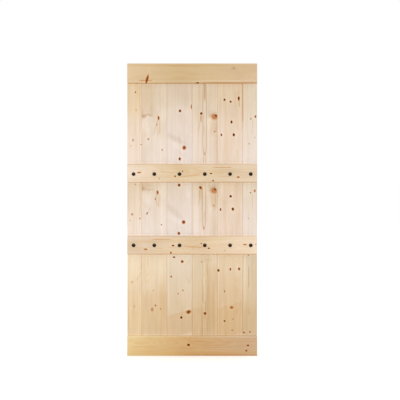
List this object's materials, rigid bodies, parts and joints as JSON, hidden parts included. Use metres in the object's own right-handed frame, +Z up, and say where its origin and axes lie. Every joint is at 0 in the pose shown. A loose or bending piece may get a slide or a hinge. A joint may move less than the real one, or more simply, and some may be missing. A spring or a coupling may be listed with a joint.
{
  "type": "barn door",
  "caption": "Sliding barn door leaf in knotty pine: upright tongue-and-groove planks held between rails, with cross bars nailed over them by black dome studs.",
  "frame": {"origin": "middle of the leaf's bottom edge, halfway through its thickness", "axes": "+X across the leaf to the right as seen from the front, +Y into the leaf from its front to its back, +Z up"},
  "size_m": [0.9144, 0.0425, 2.0574],
  "materials": {
    "plank_pine": "bare sanded knotty pine",
    "rail_pine": "bare sanded pine, yellower than the planks",
    "bar_pine": "bare sanded pine",
    "black_iron": "satin black with a hammered face",
    "zinc_steel": "dull zinc plate"
  },
  "bodies": {
    "root": {"top_rail": "rail_pine", "bottom_rail": "rail_pine", "upper_bar": "bar_pine", "lower_bar": "bar_pine", "plank_1": "plank_pine", "plank_2": "plank_pine", "plank_3": "plank_pine", "plank_4": "plank_pine", "plank_5": "plank_pine", "plank_6": "plank_pine", "upper_stud_1": "black_iron", "upper_stud_2": "black_iron", "upper_stud_3": "black_iron", "upper_stud_4": "black_iron", "upper_stud_5": "black_iron", "upper_stud_6": "black_iron", "lower_stud_1": "black_iron", "lower_stud_2": "black_iron", "lower_stud_3": "black_iron", "lower_stud_4": "black_iron", "lower_stud_5": "black_iron", "lower_stud_6": "black_iron", "top_rail_screws": "zinc_steel", "bottom_rail_screws": "zinc_steel", "upper_bar_screws": "zinc_steel", "lower_bar_screws": "zinc_steel"}
  },
  "joints": []
}
